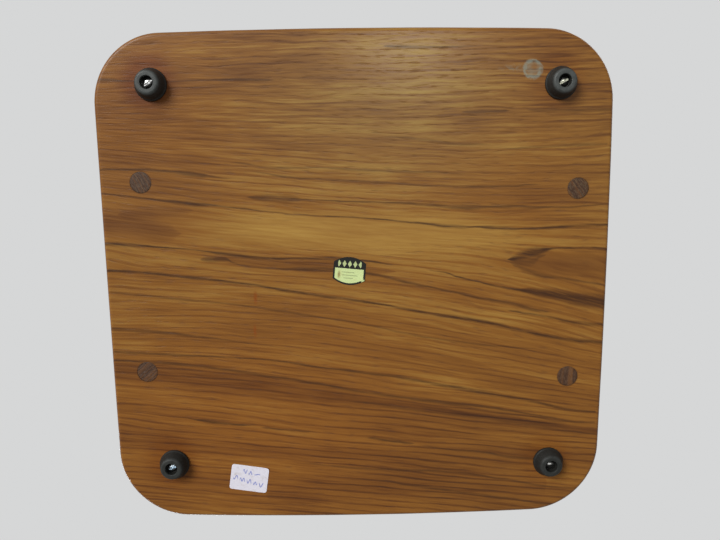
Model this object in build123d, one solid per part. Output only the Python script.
"""Square teak serving tray on four rubber feet, with two arched handles held by through dowels.

Millimetres, +Z up. The origin is on the surface that the tray stands on, under the middle of the board.
The front edge is at -Y, and left and right are as the user at the front sees them.
"""

import os

from build123d import *

# Board: one wide plank, cut to a soft square whose four edges bow out a little.
BOARD_WIDTH = 308.5  # over the middles of the left and right edges
BOARD_DEPTH = 304.5  # over the middles of the front and rear edges
BOARD_THICKNESS = 19.0
# How far each edge bows out, and the radius at its corners. Each was shaped by hand.
SIDE_BOW = {"left": 1.4, "right": 0.3}
END_BOW = {"front": 3.8, "rear": 2.5}
CORNER_RADIUS = {"front": 42.0, "rear": 40.0}
UNDERSIDE_ROUND = 2.5
TOP_ROUND = 4.0

# Rubber foot: a blunt cone with a deep screw recess in its tip.
FOOT_HEIGHT = 8.0
FOOT_BASE_DIAMETER = 19.0
FOOT_TIP_DIAMETER = 13.6
FOOT_SKIRT = 1.4  # height of the upright band against the board
FOOT_SKIRT_ROUND = 0.6
FOOT_TIP_ROUND = 1.2
RECESS_DIAMETER = 7.6
RECESS_DEPTH = 4.8
RECESS_LIP_ROUND = 0.3
FOOT_INSET = 34.25  # from the widest line of each edge to a foot's middle
# Each foot was placed by hand, so each stands a little off its nominal place.
FOOT_DRIFT = {
    "front_left": (-1.0, 2.0),
    "front_right": (-1.4, 4.1),
    "rear_left": (-1.3, 1.3),
    "rear_right": (-0.7, 3.1),
}

# Washer and round-head wood screw in each foot.
WASHER_THICKNESS = 0.8
WASHER_PLAY = 0.2  # radial, to the recess wall
SCREW_HEAD_DIAMETER = 6.6
SCREW_HEAD_HEIGHT = 2.3
SCREW_SHANK_DIAMETER = 3.5
SCREW_LENGTH = 16.0  # under the head
SCREW_POINT_LENGTH = 4.0
SCREW_SLOT_WIDTH = 1.0
SCREW_SLOT_DEPTH = 1.2
SCREW_PLAY = 0.1  # radial, in the washer, the rubber and the pilot hole
PILOT_SPARE = 1.0  # depth of the pilot hole past the screw's point
# Slot directions in degrees, counter-clockwise as seen from below.
SLOT_TURN = {"front_left": 12.0, "front_right": 20.0, "rear_left": 28.0, "rear_right": 35.0}

# Handles: an arched bar at each side, glued on two dowels that come up through the board.
HANDLE_LENGTH = 150.0
HANDLE_WIDTH = 22.0
HANDLE_HEIGHT = 34.0
HANDLE_END_HEIGHT = 21.0
HANDLE_END_ROUND = 9.0
HANDLE_EDGE_ROUND = 4.0
FINGER_GAP_LENGTH = 88.0
FINGER_GAP_HEIGHT = 18.0
FINGER_GAP_SIDE = 7.0  # upright part of the gap's ends
FINGER_GAP_ROUND = 6.0
HANDLE_INSET = 22.4  # from the widest line of the edge to the handle's middle line
# Each handle was set by hand: its drift in X and Y, and its turn in degrees.
HANDLE_SET = {"left": (-1.0, -0.8, 1.1), "right": (-1.1, 5.9, 1.6)}
DOWEL_DIAMETER = 12.7
DOWEL_SPACING = 117.4
DOWEL_GRIP = 13.0  # length of a dowel inside its handle
DOWEL_CHAMFER = 1.0
DOWEL_HOLE_SPARE = 1.0  # depth of the handle's hole past the dowel's end
GLUE_GAP = 0.05  # radial, round a dowel

# Two paper labels on the underside. Places are in model X and Y, turns as seen from below.
PAPER_THICKNESS = 0.12
LABEL_WIDTH = 19.8
LABEL_SIDE_HEIGHT = 10.4
LABEL_HEIGHT = 17.3
LABEL_PLACE = (4.8, 9.4)
LABEL_TURN = -5.8
STICKER_WIDTH = 24.0
STICKER_HEIGHT = 17.0
STICKER_ROUND = 1.6
STICKER_PLACE = (71.4, -124.7)
STICKER_TURN = -8.8

UNDERSIDE = FOOT_HEIGHT
TOP = UNDERSIDE + BOARD_THICKNESS
UPWARD = (Align.CENTER, Align.CENTER, Align.MIN)


def below(x, y):
    """A place on the underside, with local +Z pointing down and out of the board."""
    return Plane((x, y, UNDERSIDE), x_dir=(-1, 0, 0), z_dir=(0, 0, -1)).location


def foot_place(corner):
    """A foot's middle in X and Y, from the board's size, the inset and the foot's own drift."""
    drift_x, drift_y = FOOT_DRIFT[corner]
    x = BOARD_WIDTH / 2 - FOOT_INSET
    y = BOARD_DEPTH / 2 - FOOT_INSET
    if "left" in corner:
        x = -x
    if "front" in corner:
        y = -y
    return x + drift_x, y + drift_y


def handle_place(side):
    """A handle's own frame: its middle on the top face, with local Y along the bar."""
    drift_x, drift_y, turn = HANDLE_SET[side]
    x = BOARD_WIDTH / 2 - HANDLE_INSET
    if side == "left":
        x = -x
    return Location((x + drift_x, drift_y, TOP), (0, 0, turn))


def dowel_place(side, end):
    """A dowel's place in the shared frame, at the height of the top face."""
    along = DOWEL_SPACING / 2 if end == "rear" else -DOWEL_SPACING / 2
    return handle_place(side) * Pos(0, along, 0)


def corner_at(face, x, y):
    """The vertices of a flat profile nearest to a point."""
    return face.vertices().sort_by_distance((x, y, 0))[:1]


def make_board():
    half_width = BOARD_WIDTH / 2
    half_depth = BOARD_DEPTH / 2
    right_x = half_width - SIDE_BOW["right"]
    left_x = SIDE_BOW["left"] - half_width
    rear_y = half_depth - END_BOW["rear"]
    front_y = END_BOW["front"] - half_depth
    right = ThreePointArc((right_x, front_y), (half_width, 0), (right_x, rear_y))
    rear = ThreePointArc((right_x, rear_y), (0, half_depth), (left_x, rear_y))
    left = ThreePointArc((left_x, rear_y), (-half_width, 0), (left_x, front_y))
    front = ThreePointArc((left_x, front_y), (0, -half_depth), (right_x, front_y))
    outline = make_face([right, rear, left, front])
    for end, y in (("front", front_y), ("rear", rear_y)):
        for x in (left_x, right_x):
            outline = fillet(corner_at(outline, x, y), CORNER_RADIUS[end])
    board = extrude(Pos(0, 0, UNDERSIDE) * outline, BOARD_THICKNESS)
    board = fillet(board.edges().group_by(Axis.Z)[0], UNDERSIDE_ROUND)
    board = fillet(board.edges().group_by(Axis.Z)[-1], TOP_ROUND)
    for side in HANDLE_SET:
        for end in ("front", "rear"):
            hole = Cylinder(DOWEL_DIAMETER / 2 + GLUE_GAP, BOARD_THICKNESS, align=UPWARD)
            board -= dowel_place(side, end) * Pos(0, 0, -BOARD_THICKNESS) * hole
    pilot_depth = SCREW_LENGTH - screw_seat() + PILOT_SPARE
    for corner in FOOT_DRIFT:
        pilot = Cylinder(SCREW_SHANK_DIAMETER / 2 + SCREW_PLAY, pilot_depth, align=UPWARD)
        board -= below(*foot_place(corner)) * Pos(0, 0, -pilot_depth) * pilot
    return board


def recess_floor():
    """Height of the recess's floor above the foot's base."""
    return FOOT_HEIGHT - RECESS_DEPTH


def screw_seat():
    """Height of the screw head's flat side above the foot's base."""
    return recess_floor() + WASHER_THICKNESS


def make_foot():
    hole = SCREW_SHANK_DIAMETER / 2 + SCREW_PLAY
    base = FOOT_BASE_DIAMETER / 2
    tip = FOOT_TIP_DIAMETER / 2
    recess = RECESS_DIAMETER / 2
    points = [
        (hole, 0),
        (base, 0),
        (base, FOOT_SKIRT),
        (tip, FOOT_HEIGHT),
        (recess, FOOT_HEIGHT),
        (recess, recess_floor()),
        (hole, recess_floor()),
    ]
    profile = make_face(Polyline(points, close=True))
    profile = fillet(corner_at(profile, tip, FOOT_HEIGHT), FOOT_TIP_ROUND)
    profile = fillet(corner_at(profile, base, FOOT_SKIRT), FOOT_SKIRT_ROUND)
    profile = fillet(corner_at(profile, recess, FOOT_HEIGHT), RECESS_LIP_ROUND)
    return revolve(Plane.XZ * profile, Axis.Z)


def make_washer():
    disc = Cylinder(RECESS_DIAMETER / 2 - WASHER_PLAY, WASHER_THICKNESS, align=UPWARD)
    hole = Cylinder(SCREW_SHANK_DIAMETER / 2 + SCREW_PLAY, WASHER_THICKNESS, align=UPWARD)
    return Pos(0, 0, recess_floor()) * (disc - hole)


def make_screw(turn):
    head = SCREW_HEAD_DIAMETER / 2
    shank = SCREW_SHANK_DIAMETER / 2
    crown = screw_seat() + SCREW_HEAD_HEIGHT
    end = screw_seat() - SCREW_LENGTH
    # The dome's profile passes through a point midway round, on a sphere through crown and rim.
    sphere = (head**2 + SCREW_HEAD_HEIGHT**2) / (2 * SCREW_HEAD_HEIGHT)
    middle_r = head / 2
    middle_z = crown - sphere + (sphere**2 - middle_r**2) ** 0.5
    dome = ThreePointArc((0, crown), (middle_r, middle_z), (head, screw_seat()))
    body = Polyline(
        (head, screw_seat()),
        (shank, screw_seat()),
        (shank, end + SCREW_POINT_LENGTH),
        (0, end),
        (0, crown),
    )
    screw = revolve(Plane.XZ * make_face([dome, *body.edges()]), Axis.Z)
    slot = Box(SCREW_HEAD_DIAMETER, SCREW_SLOT_WIDTH, SCREW_SLOT_DEPTH, align=UPWARD)
    return screw - Pos(0, 0, crown - SCREW_SLOT_DEPTH) * Rot(0, 0, turn) * slot


def make_handle():
    half = HANDLE_LENGTH / 2
    gap = FINGER_GAP_LENGTH / 2
    outer = ThreePointArc((-half, HANDLE_END_HEIGHT), (0, HANDLE_HEIGHT), (half, HANDLE_END_HEIGHT))
    inner = ThreePointArc((gap, FINGER_GAP_SIDE), (0, FINGER_GAP_HEIGHT), (-gap, FINGER_GAP_SIDE))
    right_foot = Polyline((half, HANDLE_END_HEIGHT), (half, 0), (gap, 0), (gap, FINGER_GAP_SIDE))
    left_foot = Polyline((-gap, FINGER_GAP_SIDE), (-gap, 0), (-half, 0), (-half, HANDLE_END_HEIGHT))
    profile = make_face([outer, inner, *right_foot.edges(), *left_foot.edges()])
    for side in (-1, 1):
        end = corner_at(profile, side * half, HANDLE_END_HEIGHT)
        profile = fillet(end, HANDLE_END_ROUND)
        arch = corner_at(profile, side * gap, FINGER_GAP_SIDE)
        profile = fillet(arch, FINGER_GAP_ROUND)
    # Plane.YZ stands the profile up: its local X runs along Y and its local Y along Z.
    handle = extrude(Plane.YZ * profile, HANDLE_WIDTH / 2, both=True)
    cheeks = handle.faces().filter_by(Axis.X)
    edges = [e for cheek in cheeks for e in cheek.edges() if e.center().Z > HANDLE_EDGE_ROUND / 4]
    handle = fillet(edges, HANDLE_EDGE_ROUND)
    for along in (-DOWEL_SPACING / 2, DOWEL_SPACING / 2):
        depth = DOWEL_GRIP + DOWEL_HOLE_SPARE
        handle -= Pos(0, along, 0) * Cylinder(DOWEL_DIAMETER / 2 + GLUE_GAP, depth, align=UPWARD)
    return handle


def make_dowel():
    dowel = Cylinder(DOWEL_DIAMETER / 2, BOARD_THICKNESS + DOWEL_GRIP, align=UPWARD)
    dowel = chamfer(dowel.edges().group_by(Axis.Z)[-1], DOWEL_CHAMFER)
    return Pos(0, 0, -BOARD_THICKNESS) * dowel


def make_label():
    """A barrel outline: upright sides, and a top and bottom that bow out."""
    x = LABEL_WIDTH / 2
    y = LABEL_SIDE_HEIGHT / 2
    apex = LABEL_HEIGHT / 2
    outline = [
        Line((x, -y), (x, y)),
        ThreePointArc((x, y), (0, apex), (-x, y)),
        Line((-x, y), (-x, -y)),
        ThreePointArc((-x, -y), (0, -apex), (x, -y)),
    ]
    return extrude(make_face(outline), PAPER_THICKNESS)


def make_sticker():
    return extrude(RectangleRounded(STICKER_WIDTH, STICKER_HEIGHT, STICKER_ROUND), PAPER_THICKNESS)


os.makedirs("parts", exist_ok=True)

pieces = {"board": make_board()}
for corner in FOOT_DRIFT:
    place = below(*foot_place(corner))
    pieces[f"foot_{corner}"] = place * make_foot()
    pieces[f"foot_washer_{corner}"] = place * make_washer()
    pieces[f"foot_screw_{corner}"] = place * make_screw(SLOT_TURN[corner])
for side in HANDLE_SET:
    pieces[f"handle_{side}"] = handle_place(side) * make_handle()
    for end in ("front", "rear"):
        pieces[f"handle_dowel_{side}_{end}"] = dowel_place(side, end) * make_dowel()
pieces["makers_label"] = below(*LABEL_PLACE) * Rot(0, 0, LABEL_TURN) * make_label()
pieces["price_sticker"] = below(*STICKER_PLACE) * Rot(0, 0, STICKER_TURN) * make_sticker()

for name, shape in pieces.items():
    export_step(shape, f"parts/{name}.step")
    print(name, round(shape.volume, 2))
